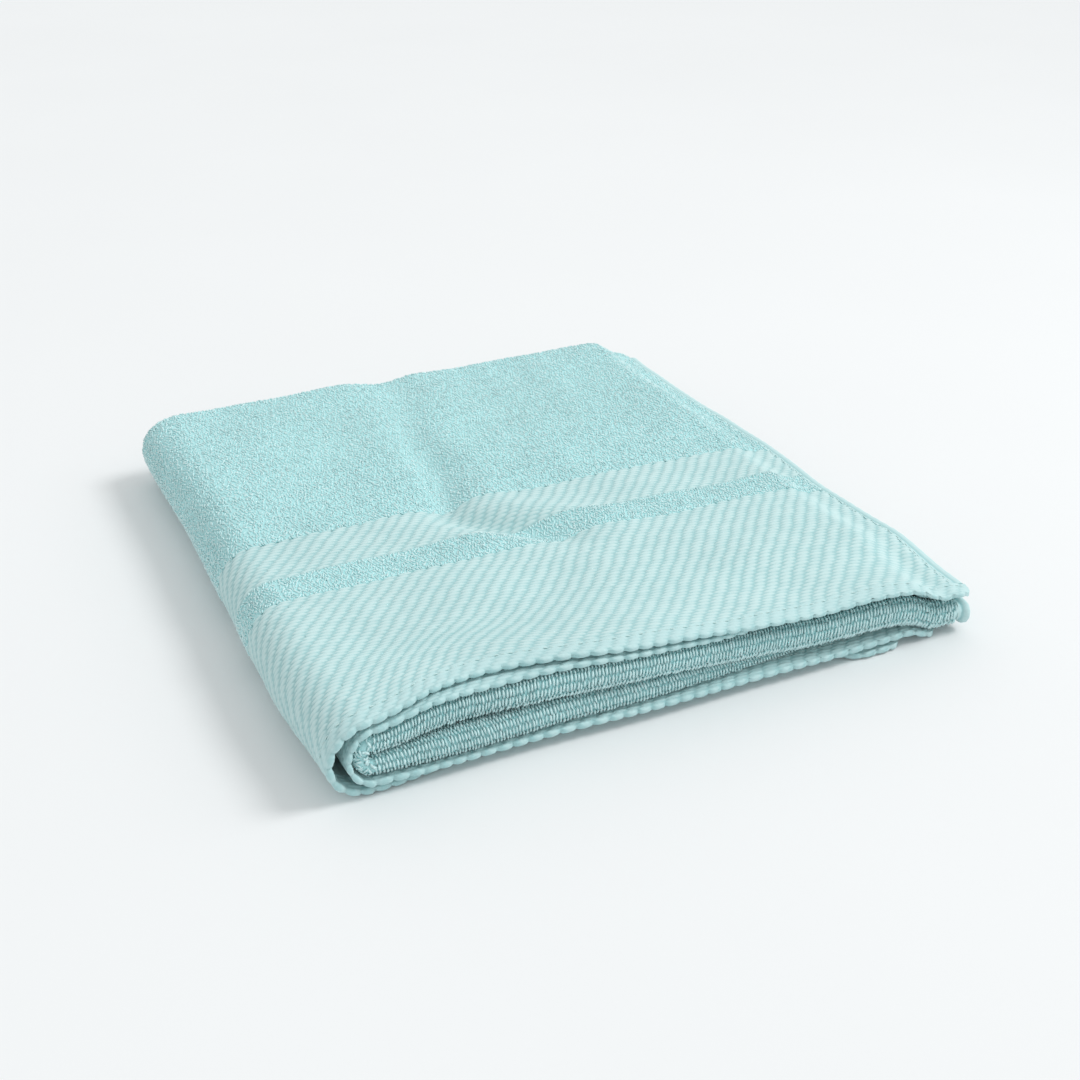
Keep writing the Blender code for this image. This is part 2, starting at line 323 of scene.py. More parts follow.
# Just at the front right, the upper plies rise a little and then come down.
RISEN, RISEN_BY, SUNK, SUNK_BY = (0.105, 0.020), 0.8, (0.150, 0.018), 3.5


def place(half, s, x, h):
    """Points of the folded cloth: s along it, x across it and h out from its face.

    In the book fold x is the angle round the axis, from 0 at the top to pi at the bottom.
    """
    y, r, face_y, face_r = section(s)
    y, r = y + face_y * h, r + face_r * h
    if half == "book_fold":
        across = AXIS_X - r * np.sin(x)
        y = y + front_shift(s, across, x / math.pi)
        slack = ease(-y, *SLACK) * (r < OUTER_RADIUS - PITCH / 2)
        r = r * (1 - SLACK_SHARE * np.sin(x) * slack)
        across, z = AXIS_X - r * np.sin(x), AXIS_Z + r * np.cos(x)
    else:
        lower = half == "lower"
        y = y + front_shift(s, x, float(lower))
        across, z = x, AXIS_Z + (-r if lower else r)
        front = ease(-y, *TO_FRONT) * ease(x, AXIS_X, FROM_FOLD)
        level = np.interp(z, SQUARE_HEIGHTS, FRONT_HEIGHTS)
        level = level + ease(x, *TO_RIGHT) * (np.interp(z, SQUARE_HEIGHTS, FRONT_HEIGHTS_RIGHT) - level)
        z = z + front * (level - z) - settle(x)
        if not lower:
            z = z + front * MM * (RISEN_BY * hump(x, *RISEN) - SUNK_BY * hump(x, *SUNK))
    return np.stack(relax(across, y, z), axis=-1)


# ---- meshes


def new_piece(name, points, corners, counts, rise, tone=None):
    """A mesh object from its points and faces, with the rise of each point, which sets its painted shade, and its
    random tone in attributes.
    """
    points = points.reshape(-1, 3)
    starts = np.concatenate([[0], np.cumsum(counts)[:-1]]).astype(np.int32)
    # The solid's signed volume, from a fan of triangles in each face, tells which way its faces point.
    first = np.repeat(corners[starts], counts)
    following = np.arange(1, len(corners) + 1)
    ends = starts + counts - 1
    following[ends] = starts
    volume = np.einsum("ij,ij->i", points[first], np.cross(points[corners], points[corners[following]])).sum()
    if volume < 0:
        order = np.arange(len(corners))
        owner = np.repeat(np.arange(len(counts)), counts)
        corners = corners[starts[owner] + ends[owner] - order]
    mesh = bpy.data.meshes.new(name)
    mesh.vertices.add(len(points))
    mesh.vertices.foreach_set("co", points.astype(np.float32).ravel())
    mesh.loops.add(len(corners))
    mesh.loops.foreach_set("vertex_index", corners.astype(np.int32))
    mesh.polygons.add(len(counts))
    mesh.polygons.foreach_set("loop_start", starts)
    mesh.update(calc_edges=True)
    mesh.validate()
    mesh.shade_smooth()
    for label, values in (("rise", rise), ("tone", tone)):
        if values is not None:
            layer = mesh.attributes.new(label, "FLOAT", "POINT")
            layer.data.foreach_set("value", np.asarray(values, np.float32).ravel())
    piece = bpy.data.objects.new(name, mesh)
    bpy.context.scene.collection.objects.link(piece)
    return piece, volume < 0


def every(count, stride):
    """Indices from the first to the last, one in each stride."""
    return np.unique(np.append(np.arange(0, count, stride), count - 1))


def steps(start, end, size, fine=()):
    """Evenly spaced values from start to end, about size apart, with closer ones near the folds."""
    values = np.linspace(start, end, max(2, round((end - start) / size) + 1))
    for centre_from, centre_to, fine_size in fine:
        a, b = max(start, centre_from), min(end, centre_to)
        if b > a:
            inside = np.linspace(a, b, max(2, round((b - a) / fine_size) + 1))
            values = np.concatenate([values[(values < a - fine_size / 2) | (values > b + fine_size / 2)], inside])
    return np.sort(values)


def closed_cloth(name, half, s, across, span, top, under, stride=1, waver=None):
    """A thin closed cloth between two faces.

    across runs from 0 to 1 over span(s), which gives each row's first and last x. top and under give how far
    each face lies from the middle of the cloth, and its rise, which sets how much painted shade its colour takes.
    A stride over 1 makes the under face that much coarser.
    """
    rows, columns = len(s), len(across)
    along, share = np.meshgrid(s, across, indexing="ij")
    first, last = span(along)
    x = first + share * (last - first)
    if waver is not None:
        along = along + waver(along, x)
    h_top, rise_top = top(along, x)
    i, j = every(rows, stride), every(columns, stride)
    h_under, rise_under = under(along, x)
    coarse = np.ix_(i, j)
    over = place(half, along, x, h_top)
    below = place(half, along[coarse], x[coarse], -h_under[coarse])
    points = np.concatenate([over.reshape(-1, 3), below.reshape(-1, 3)])
    rise_top, rise_under = (np.broadcast_to(rise, along.shape) for rise in (rise_top, rise_under))
    rise = np.concatenate([rise_top.ravel(), rise_under[coarse].ravel()])

    def quads(grid):
        return np.stack([grid[:-1, :-1], grid[1:, :-1], grid[1:, 1:], grid[:-1, 1:]], axis=-1).reshape(-1, 4)

    upper = np.arange(rows * columns).reshape(rows, columns)
    lower = rows * columns + np.arange(len(i) * len(j)).reshape(len(i), len(j))
    both = np.concatenate([quads(upper), quads(lower)[:, ::-1]])
    corners, counts = [both.ravel()], [np.full(len(both), 4)]
    edges = (
        (upper[:, 0], lower[:, 0], i, 1),
        (upper[:, -1], lower[:, -1], i, -1),
        (upper[0], lower[0], j, -1),
        (upper[-1], lower[-1], j, 1),
    )
    for top_edge, under_edge, kept, way in edges:
        for k in range(len(kept) - 1):
            wall = np.concatenate([top_edge[kept[k] : kept[k + 1] + 1], under_edge[k : k + 2][::-1]])
            corners.append(wall[::-way])
            counts.append([len(wall)])
    piece = new_piece(name, points, np.concatenate(corners), np.concatenate(counts).astype(np.int32), rise)[0]
    # Sharp at the cut edges only, so that neighbouring cloths shade alike where they meet.
    piece.data.set_sharp_from_angle(angle=math.radians(72))
    return piece


def arm_span(half, inset=0.0, width=None):
    """The x values that a cloth covers in one half: from the book fold to inset from its long edge."""

    def span(s):
        if half == "book_fold":
            return np.zeros(s.shape), np.full(s.shape, math.pi)
        end = right_end(half, s) - inset
        return (np.full(s.shape, AXIS_X) if width is None else end - width), end

    return span


def cloth_area(half, start, end, inset):
    """(mean width, length, area) of a cloth laid flat."""
    s = np.linspace(start, end, 200)
    widths = math.pi * section(s)[1] if half == "book_fold" else right_end(half, s) - inset - AXIS_X
    width, length = float(widths.mean()), end - start
    return max(width, 10.1 * MM), length, width * length


def reach(start, end, thickness):
    """The smallest radius that cloth holds between two points of its path, less a hair."""
    s = np.linspace(start, end, 100)
    _, r, _, face_r = section(s)
    return float((r - np.abs(face_r) * thickness / 2).min()) - 0.1 * MM


def attach(piece, half, material, start, end, thickness):
    """Gives a finished piece its material, and a piece of either half the body it moves with; a book fold piece has its
    place baked into its mesh.
    """
    piece.data.materials.append(material)
    if half == "book_fold":
        turn_from = reach(start, end, thickness)
        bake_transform(piece)
    else:
        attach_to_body(piece, BODIES[half])
    return piece


def tube_faces(count, segments, sides):
    """Corners and face sizes of many short closed tubes, and the place of each wall face along and round one."""
    k, m = (v.ravel() for v in np.meshgrid(np.arange(segments), np.arange(sides), indexing="ij"))
    after = (m + 1) % sides
    walls = np.stack([k * sides + m, k * sides + after, (k + 1) * sides + after, (k + 1) * sides + m], axis=-1)
    one = np.concatenate([walls.ravel(), np.arange(sides)[::-1], segments * sides + np.arange(sides)])
    corners = (np.arange(count)[:, None] * (segments + 1) * sides + one[None]).ravel()
    counts = np.tile(np.concatenate([np.full(len(walls), 4), [sides, sides]]), count).astype(np.int32)
    return corners, counts, k, m


# ---- terry loops


def sites(half, start, end, pitch_s, pitch_x, face, stand, inset, rng, wander):
    """Feet of the loops: s, x, and metres for each unit of x."""
    rows = max(1, round((end - start) / pitch_s))
    found = []
    for row in range(rows):
        s = start + (row + 0.5) * (end - start) / rows
        _, r, _, face_r = section(np.array([s]))
        if half == "book_fold":
            unit = max(float((r + face * face_r * stand)[0]), 0.3 * MM)
            first, last = 0.0, math.pi
        else:
            unit, first, last = 1.0, AXIS_X + 0.9 * MM, float(right_end(half, np.array([s]))[0]) - inset
        columns = max(1, round((last - first) * unit / pitch_x))
        at = first + (np.arange(columns) + 0.5 + 0.5 * (row % 2) - 0.25) * (last - first) / columns
        found.append(np.stack([np.full(columns, s), at, np.full(columns, unit)], axis=-1))
    s, x, unit = np.concatenate(found).T
    s = s + rng.uniform(-1, 1, len(s)) * wander * pitch_s
    x = x + rng.uniform(-1, 1, len(s)) * wander * pitch_x / unit
    return np.clip(s, start + 0.3 * MM, end - 0.3 * MM), x, unit


def loops(name, half, start, end, look, face=1, inset=0.0):
    """Terry loops between two points of the cloth's path, standing on its face, or under it where face is -1.

    look holds pitch_s, pitch_x, width, height, yarn, segments, foot, slant, scatter, wander and lean.
    """
    rng = np.random.default_rng(sum(ord(letter) * (k + 7) for k, letter in enumerate(name)))
    s, x, unit = sites(half, start, end, look["pitch_s"], look["pitch_x"], face, CLOTH / 2, inset, rng, look["wander"])
    count, segments = len(s), look["segments"]
    turn = look["slant"] + rng.uniform(-1, 1, count) * look["scatter"]
    height = look["height"] * rng.uniform(0.80, 1.12, count)
    width = look["width"] * rng.uniform(0.85, 1.15, count)
    yarn = look["yarn"] * rng.uniform(0.88, 1.12, count)
    lean_s, lean_x = rng.uniform(-1, 1, (2, count)) * look["lean"]
    angle = np.linspace(0, math.pi, segments + 1)[None, :, None]
    round_yarn = (np.arange(3) * TURN / 3 + math.pi / 2)[None, None, :]
    out, aside = np.cos(round_yarn - math.pi / 2), np.sin(round_yarn - math.pi / 2)
    wide, tall, thick = (v[:, None, None] for v in (width / 2, height - yarn, yarn))
    forward = -np.cos(angle) * (wide + thick * out)
    up = np.sin(angle) * (tall + thick * out)
    sideways = thick * aside * np.ones_like(forward)
    cosine, sine = np.cos(turn)[:, None, None], np.sin(turn)[:, None, None]
    leaning = (up / look["height"]) ** 2
    ds = cosine * forward - sine * sideways + lean_s[:, None, None] * leaning
    dx = sine * forward + cosine * sideways + lean_x[:, None, None] * leaning
    all_s = s[:, None, None] + ds
    all_x = x[:, None, None] + dx / unit[:, None, None]
    points = place(half, all_s, all_x, face * (look["foot"] + up))
    corners, counts, k, m = tube_faces(count, segments, 3)
    # Painted shade: each loop's colour goes to the terry's painted shade colour towards its foot.
    rise = np.clip(up / look["height"], 0, 1)
    tone = np.repeat(rng.uniform(0, 1, count), (segments + 1) * 3)
    piece, turned = new_piece(name, points, corners, counts, rise, tone)
    # Each loop has its own cell of a square UV map, for baking its colour.
    cells = math.ceil(math.sqrt(count))
    quad_u = np.stack([m, m + 1, m + 1, m], axis=-1) / 3
    quad_v = np.stack([k, k, k + 1, k + 1], axis=-1) / segments
    u = np.concatenate([0.06 + 0.88 * quad_u.ravel(), [0.1, 0.5, 0.9, 0.1, 0.5, 0.9]])
    v = np.concatenate([0.18 + 0.64 * quad_v.ravel(), [0.03, 0.14, 0.03, 0.97, 0.86, 0.97]])
    if turned:
        walls = np.arange(len(k) * 4).reshape(-1, 4)[:, ::-1].ravel()
        order = np.concatenate([walls, len(walls) + np.array([2, 1, 0, 5, 4, 3])])
        u, v = u[order], v[order]
    cell = np.arange(count)
    places = np.stack([((cell % cells)[:, None] + u) / cells, ((cell // cells)[:, None] + v) / cells], axis=-1)
    piece.data.uv_layers.new(name="OFBake").data.foreach_set("uv", places.astype(np.float32).ravel())
    return piece


def loop_look(kind):
    """How the loops of each terry area are made."""
    sizes = towel_sizes()
    base = dict(pitch_s=1.12 * sizes.loop_pitch, pitch_x=0.84 * sizes.loop_pitch, width=2.6 * MM, yarn=sizes.yarn)
    base.update(height=sizes.loop_height, segments=3, foot=CLOTH / 2 - sizes.loop_height)
    base.update(slant=0.0, scatter=0.75, wander=0.34, lean=0.5 * MM)
    # The pile stands in even columns where the cloth is bent round a front fold.
    fold = dict(pitch_s=2.0 * MM, pitch_x=1.75 * MM, width=1.7 * MM, height=2.0 * MM, yarn=0.66 * MM)
    fold.update(slant=0.22, scatter=0.30, wander=0.12, lean=0.25 * MM)
    # Where that fold is rolled as well, at the left, its loops are pushed every way.
    curl = dict(pitch_s=2.2 * MM, pitch_x=2.0 * MM, width=2.4 * MM, height=1.8 * MM, yarn=0.7 * MM)
    curl.update(scatter=1.3, wander=0.4, lean=0.7 * MM)
    stripe = dict(pitch_s=1.9 * MM, pitch_x=1.7 * MM, width=2.2 * MM, scatter=0.9, wander=0.28)
    # Coarser, for the faces that lie hidden until the towel is opened or turned over.
    hidden = dict(pitch_s=4.3 * MM, pitch_x=3.4 * MM, width=4.7 * MM, yarn=0.95 * MM, segments=2)
    changes = {"field": {}, "stripe": stripe, "fold": fold, "curl": curl, "hidden": hidden}
    return {**base, **changes[kind]}


# ---- surfaces of the cloths


def grains(s, x):
    """Height, from 0 to 1, of the woven grains: short floats of yarn in rows, each row a quarter pitch over, so
    that their ends line up in diagonals. No two are quite alike."""
    sizes = towel_sizes()
    row = np.floor(s / sizes.pique_row)
    b = s / sizes.pique_row - row - 0.5
    a = x / sizes.pique_pitch - 0.25 * row + 0.05 * np.sin(0.37 * row) + 0.04 * np.sin(0.9 * row + x / 0.013)
    column = np.floor(a)
    a = a - column - 0.5
    uneven = np.sin(12.9898 * row + 78.233 * column) * 43758.5453
    uneven = uneven - np.floor(uneven)
    bump = np.sqrt(np.clip(1 - 0.92 * (a / (0.44 + 0.06 * uneven)) ** 2 - 0.80 * (2 * b) ** 2, 0, 1))
    return bump * (0.68 + 0.32 * uneven)


def flat_x(half, s, x):
    """x across the cloth laid flat, so that a pattern runs on from a half into the book fold."""
    return AXIS_X - section(s)[1] * x if half == "book_fold" else x


def pique_face(half, thickness):
    def face(s, x):
        height = grains(np.minimum(s, LENGTH - s), flat_x(half, s, x))
        relief = towel_sizes().pique_relief
        # The grains' height is also the rise that paints shade into the pits between them.
        return thickness / 2 - 0.45 * relief + relief * height, height

    return face


OVERLOCK = 3.4 * MM  # how far the overlocking reaches in from the raw edge
THINNEST = 0.12 * MM


def plain_face(thickness, rise=0.0):
    return lambda s, x: (np.full(s.shape, thickness / 2), rise)


def ground_face():
    """The ground weave under the loops: the cloth less its loops, whose feet are sunk a little into it."""
    # Its rise is 0 all over, so the ground takes the terry's painted shade colour.
    return plain_face(CLOTH - 2 * towel_sizes().loop_height + 0.5 * MM)


def uneven_along(flat):
    """Hand-fed overlocking: its pinches are not evenly spaced."""
    return flat + 1.1 * MM * np.sin(flat / 0.0213) + 0.5 * MM * np.sin(flat / 0.0079 + 2)


def pinched(half, s, x, power):
    """0 at each pinch of the overlocked edge, rising to 1 between them."""
    rib_pitch = towel_sizes().rib_pitch
    return np.abs(np.sin(math.pi * uneven_along(flat_x(half, s, x)) / rib_pitch)) ** power


def hem_waver(half):
    """The overlocked edge goes in and out between its pinches."""

    def waver(s, x):
        from_edge = np.minimum(s, LENGTH - s)
        inward = np.where(s < LENGTH / 2, 1.0, -1.0)
        return inward * 1.6 * MM * (1 - pinched(half, s, x, 0.6)) * smooth(1 - from_edge / OVERLOCK)

    return waver


def rounded_edge(from_edge):
    """The share of a hem's thickness that is left near its edge."""
    return np.sqrt(np.clip(1 - np.clip(1 - from_edge / (HEM / 2), 0, 1) ** 2, 0.012, 1))


def hem_face(half):
    """The end hem: rounded at its edge and pinched by its overlocking, with the border's grains over it."""

    def face(s, x):
        from_edge = np.minimum(s, LENGTH - s)
        flat = uneven_along(flat_x(half, s, x))
        pinch = pinched(half, s, x, 0.7)
        edge = smooth(1 - from_edge / OVERLOCK)
        rounded = rounded_edge(from_edge)
        relief = towel_sizes().pique_relief
        height = grains(from_edge, flat)
        woven = (height - 0.5) * relief * smooth((from_edge - 1.8 * MM) / (1.5 * MM))
        seam = 0.20 * MM * hump(from_edge, 9.55 * MM, 0.9 * MM)
        wraps = 0.15 * MM * np.sin(TURN * flat / (2.2 * MM)) * edge * pinch
        half_thickness = wraps * rounded + HEM / 2 * rounded * (1 + edge * (0.30 - 0.95 * (1 - pinch))) + woven - seam
        # Painted shade: the rise drops in the pits between the grains and in the pinches of the overlocked edge.
        rise = np.clip(0.25 + 0.75 * height - 0.9 * edge * (1 - pinch), 0, 1)
        return np.maximum(half_thickness, THINNEST), rise

    return face


def side_hem_face(half, raised):
    """The side hem: a rolled bead at the long edge, a groove inside it and fine ribs across."""

    def face(s, x):
        from_edge = right_end(half, s) - x
        bead = 0.7 * hump(from_edge, 2.4 * MM, 2.0 * MM) - 0.9 * hump(from_edge, 5.6 * MM, 1.1 * MM)
        ribs = 0.20 * np.sin(TURN * s / (7.0 * MM)) * smooth(from_edge / (2 * MM))
        seam = -0.25 * hump(from_edge, 8.45 * MM, 0.8 * MM)
        half_thickness = HEM / 2 * rounded_edge(from_edge) + raised * (bead + ribs + seam) * MM
        # Painted shade: the rise drops in the groove inside the bead and between the ribs, so these take the painted
        # shade colour.
        return np.maximum(half_thickness, THINNEST), np.clip(0.62 + 0.8 * bead + 0.5 * ribs, 0, 1)

    return face


# ---- materials


def add_node(tree, kind, settings=(), links=()):
    """A new node: settings are pairs of a property or input and its value, links pairs of an input and a socket."""
    made = tree.nodes.new("ShaderNode" + kind)
    for name, value in settings:
        if isinstance(name, str) and hasattr(made, name):
            setattr(made, name, value)
        else:
            made.inputs[name].default_value = value
    for name, source in links:
        tree.links.new(source, made.inputs[name])
    return made


# The towel's cottons: painted shade colour at the foot and face colour at the top, width of the soft streaks,
# spacing and depth of the yarn's twist, all in mm, the sheen, and how far the tone wanders at random.
COTTONS = {
    # Combed cotton terry, woven with slack pile warp: matt, bright at the tips of the loops, with painted shade in
    # between.
    "combed_cotton_terry_loops": ("terry_deep", "terry", 26, 0.5, 0.12, 0.25, 0.09),
    # The flat ground weave under the loops, given the terry's painted shade colour, so that it shows as painted shade
    # between them.
    "cotton_terry_ground_weave": ("terry_deep", "terry", 26, 0.5, 0.10, 0.1, 0.10),
    # Cotton pique, woven in a raised grain: flatter and paler than the terry, with faint painted shade in its pits.
    "woven_cotton_pique": ("pique_deep", "pique", 30, 0.6, 0.10, 0.18, 0.05),
    # Folded and overlocked cotton: the pique's colour, rounded and pinched, with painted shade in the pinches.
    "sewn_cotton_hem": ("pique_deep", "hem", 30, 0.6, 0.12, 0.18, 0.05),
    # Two-ply spun cotton thread: a small twisted yarn, a little paler than the cloth it holds.
    "spun_cotton_thread": ("hem", "thread", 20, 0.35, 0.08, 0.15, 0.05),
}
LOOPS, GROUND, PIQUE, HEM_WEAVE, THREAD = COTTONS
MOTTLE_MM = 2.4


def cotton(name):
    """A cotton surface: painted shade colour at its foot, face colour at its top, soft streaks and the yarn's own
    twist.
    """
    if name in bpy.data.materials:
        return bpy.data.materials[name]
    painted_shade_colour, face, streak_mm, yarn_mm, bump_mm, sheen, shade = COTTONS[name]
    painted_shade_colour, face = ((*getattr(bpy.context.scene.towel_colours, colour), 1) for colour in (painted_shade_colour, face))
    material = bpy.data.materials.new(name)
    material.use_nodes = True
    tree = material.node_tree
    tree.nodes.clear()
    where = add_node(tree, "TexCoord").outputs["Object"]
    rise = add_node(tree, "Attribute", [("attribute_name", "rise")]).outputs["Fac"]
    tone = add_node(tree, "Attribute", [("attribute_name", "tone")]).outputs["Fac"]
    # Painted shade: a low rise, at the foot of the loops, in the pique's pits, the hems' pinches and the side hem's
    # groove, takes the painted shade colour; a high rise takes the face colour.
    eased = [("interpolation_type", "SMOOTHSTEP"), ("From Max", 0.85)]
    lift = add_node(tree, "MapRange", eased, [("Value", rise)])
    body = add_node(tree, "Mix", [("data_type", "RGBA"), (6, painted_shade_colour), (7, face)], [(0, lift.outputs["Result"])])
    # The lay of the pile: streaks a few times longer along the towel than across it.
    stretched = add_node(tree, "Mapping", [("Scale", (1.0, 0.45, 0.45))], [("Vector", where)])
    noises = (
        (1 / (streak_mm * MM), 4.0, 0.6, stretched.outputs["Vector"]),
        (1 / (MOTTLE_MM * MM), 2.0, 0.6, where),
        (1 / (yarn_mm * MM), 3.0, 0.7, where),
    )
    streaks, mottled, fibres = (
        add_node(tree, "TexNoise", [("Scale", scale), ("Detail", detail), ("Roughness", rough)], [("Vector", at)])
        for scale, detail, rough, at in noises
    )
    streaks, mottled, fibres = (noise.outputs["Fac"] for noise in (streaks, mottled, fibres))
    shades = add_node(tree, "Math", [("operation", "ADD")], [(0, streaks), (1, mottled)]).outputs["Value"]
    toned = add_node(tree, "Math", [("operation", "MULTIPLY_ADD"), (1, 0.45)], [(0, tone), (2, shades)])
    spread = [("From Min", 0.7), ("From Max", 1.75), ("To Min", 1 - shade), ("To Max", 1 + shade)]
    brightness = add_node(tree, "MapRange", spread, [("Value", toned.outputs["Value"])])
    shaded = [("Value", brightness.outputs["Result"]), ("Color", body.outputs[2])]
    tinted = add_node(tree, "HueSaturation", [], shaded)
    bump = add_node(tree, "Bump", [("Strength", 0.8), ("Distance", bump_mm * MM)], [("Height", fibres)])
    dry = add_node(tree, "MapRange", [("To Min", 0.82), ("To Max", 0.98)], [("Value", fibres)])
    finish = [("IOR", 1.5), ("Specular IOR Level", 0.25), ("Sheen Weight", sheen), ("Sheen Roughness", 0.6)]
    made = [("Base Color", tinted.outputs["Color"]), ("Roughness", dry.outputs["Result"])]
    shader = add_node(tree, "BsdfPrincipled", finish, [*made, ("Normal", bump.outputs["Normal"])])
    add_node(tree, "OutputMaterial", [], [("Surface", shader.outputs["BSDF"])])
    return material


# ---- operators

BEND_ROWS = ((1, 1.6), (3, 1.2), (5, 1.4))  # each bend of the path, and its rows' spacing in mm
FOLD_FINE = [(STOPS[k] - 2 * MM, STOPS[k + 1] + 2 * MM, size * MM) for k, size in BEND_ROWS]
SKEW = SIDE_HEM + 0.15 * MM
FOLD_PILE = (STOPS[3] - 5 * MM, STOPS[4] + 7 * MM)  # where the pile shows round a front fold


def fold_parts():
    """The terry field's book fold, in lengths whose cloth stays about as far from the axis: where each starts
    and ends, and the loops on it as start, end and kind."""
    wide = (STOPS[1] + STOPS[2]) / 2
    front, back = (STOPS[3] + STOPS[4]) / 2, (STOPS[5] + STOPS[6]) / 2
    return (
        (NARROW_END, STOPS[1], [(NARROW_END, STOPS[1], "field")]),
        (STOPS[1], wide, [(STOPS[1], wide, "field")]),
        (wide, front, [(wide, STOPS[2], "field"), (FOLD_PILE[0], front, "curl")]),
        (front, back, [(front, FOLD_PILE[1], "curl")]),
        (back, LENGTH - NARROW_END, []),
    )


def declare(half, start, end, inset):
    width, length, area = cloth_area(half, start, end, inset)


class TOWEL_OT_terry_field(bpy.types.Operator):
    """Ground cloth and loops of the terry field, which is most of the towel"""

    bl_idname = "towel.terry_field"
    bl_label = "Terry Field"

    def execute(self, context):
        face = ground_face()
        middle = (STOPS[3] + STOPS[4]) / 2
        fine = [*FOLD_FINE, (middle - 40 * MM, middle + 40 * MM, 2 * MM)]
        rows = steps(NARROW_END, LENGTH - NARROW_END, 5 * MM, fine)
        for half in ("upper", "lower"):
            across, span = np.linspace(0, 1, 116), arm_span(half, SKEW)
            ground = closed_cloth(f"terry_ground_{half}", half, rows, across, span, face, face)
            attach(ground, half, cotton(GROUND), 0, 0, 0)
            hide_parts(f"terry_field_{half}")

            def pile(label, start, end, kind, side=1):
                piece = loops(f"terry_loops_{half}_{label}", half, start, end, loop_look(kind), side, SKEW)
                attach(piece, half, cotton(LOOPS), 0, 0, 0)

            outer_kind = "field" if half == "upper" else "hidden"
            halfway = (NARROW_END + STOPS[1]) / 2
            pile("outer_front", NARROW_END, halfway, outer_kind)
            pile("outer_back", halfway, STOPS[1], outer_kind)
            pile("back_fold", STOPS[1], STOPS[2], "field")
            fold_from, fold_to = FOLD_PILE
            halfway = (STOPS[2] + fold_from) / 2
            pile("inner_back", STOPS[2], halfway, "hidden")
            pile("inner_front", halfway, fold_from, "hidden")
            pile("front_fold", fold_from, fold_to, "fold")
            declare(half, NARROW_END, LENGTH - NARROW_END, SKEW)
        for number, (start, end, piles) in enumerate(fold_parts(), 1):
            rows = steps(start, end, 6 * MM, FOLD_FINE)
            name = f"terry_ground_book_fold_{number}"
            across = np.linspace(0, 1, 25)
            ground = closed_cloth(name, "book_fold", rows, across, arm_span("book_fold"), face, face)
            attach(ground, "book_fold", cotton(GROUND), start, end, CLOTH)
            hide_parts("terry_field_book_fold")
            for pile_start, pile_end, kind in piles:
                name = f"terry_loops_book_fold_{number}_{kind}"
                piece = loops(name, "book_fold", pile_start, pile_end, loop_look(kind))
                attach(piece, "book_fold", cotton(LOOPS), start, end, CLOTH)
            declare("book_fold", start, end, 0)
        return {"FINISHED"}


def band_parts(*bands):
    """Each part of the bands: band, ply, half, and where along the cloth it starts and ends."""
    for band in bands:
        for ply_name in ("outer", "inner"):
            start, end = BANDS[band] if ply_name == "outer" else (LENGTH - edge for edge in reversed(BANDS[band]))
            for half in HALVES:
                yield band, ply_name, half, start, end


class TOWEL_OT_borders(bpy.types.Operator):
    """The woven pique borders, wide and narrow, with their raised grains"""

    bl_idname = "towel.borders"
    bl_label = "Pique Borders"

    def execute(self, context):
        sizes = towel_sizes()
        material = cotton(PIQUE)
        for band, ply_name, half, start, end in band_parts("wide_border", "narrow_border"):
            seen = ply_name == "outer" and half != "lower"
            fine = 5 if seen else 2
            s = steps(start, end, sizes.pique_row / fine)
            width = math.pi * OUTER_RADIUS if half == "book_fold" else RIGHT - SKEW - AXIS_X
            across = np.linspace(0, 1, round(width * 2 * fine / sizes.pique_pitch) + 1)
            face = pique_face(half, BORDER)
            # The plain under face is given a rise of 0.6, so it takes part of the painted pit shade.
            under, stride = (plain_face(BORDER, 0.6), 4) if seen else (face, 1)
            name = f"{band}_cloth_{ply_name}_{half}"
            piece = closed_cloth(name, half, s, across, arm_span(half, SKEW), face, under, stride)
            attach(piece, half, material, start, end, CLOTH)
            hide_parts(f"{band}_{ply_name}_{half}")
            declare(half, start, end, SKEW)
        return {"FINISHED"}


class TOWEL_OT_stripes(bpy.types.Operator):
    """The narrow terry stripes between the borders"""

    bl_idname = "towel.stripes"
    bl_label = "Terry Stripes"

    def execute(self, context):
        face = ground_face()
        for _, ply_name, half, start, end in band_parts("terry_stripe"):
            s = steps(start, end, 2.5 * MM)
            across = np.linspace(0, 1, 25 if half == "book_fold" else 84)
            ground = closed_cloth(f"stripe_ground_{ply_name}_{half}", half, s, across, arm_span(half, SKEW), face, face)
            attach(ground, half, cotton(GROUND), start, end, CLOTH)
            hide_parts(f"terry_stripe_{ply_name}_{half}")
            if ply_name == "outer":
                kind = "hidden" if half == "lower" else "stripe"
                piece = loops(f"stripe_loops_{half}", half, start, end, loop_look(kind), 1, SKEW)
                attach(piece, half, cotton(LOOPS), start, end, CLOTH)
            declare(half, start, end, SKEW)
        return {"FINISHED"}


class TOWEL_OT_end_hems(bpy.types.Operator):
    """The folded hems at the two ends of the towel, with their overlocked edges"""

    bl_idname = "towel.end_hems"
    bl_label = "End Hems"

    def execute(self, context):
        near_edge = np.array([0, 0.12, 0.35, 0.7, 1.1, 1.6, 2.2, 2.8, 3.4]) * MM
        from_edge = np.concatenate([near_edge, steps(3.9 * MM, HEM_END, 0.6 * MM)])
        for _, ply_name, half, start, end in band_parts("end_hem"):
            s = from_edge if ply_name == "outer" else np.sort(LENGTH - from_edge)
            width = math.pi * section(np.array([start]))[1][0] if half == "book_fold" else RIGHT - AXIS_X
            across = np.linspace(0, 1, round(width / (0.7 * MM)) + 1)
            face, name = hem_face(half), f"end_hem_cloth_{ply_name}_{half}"
            piece = closed_cloth(name, half, s, across, arm_span(half), face, face, waver=hem_waver(half))
            attach(piece, half, cotton(HEM_WEAVE), start, end, CLOTH)
            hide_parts(f"end_hem_{ply_name}_{half}")
            declare(half, start, end, 0)
        return {"FINISHED"}


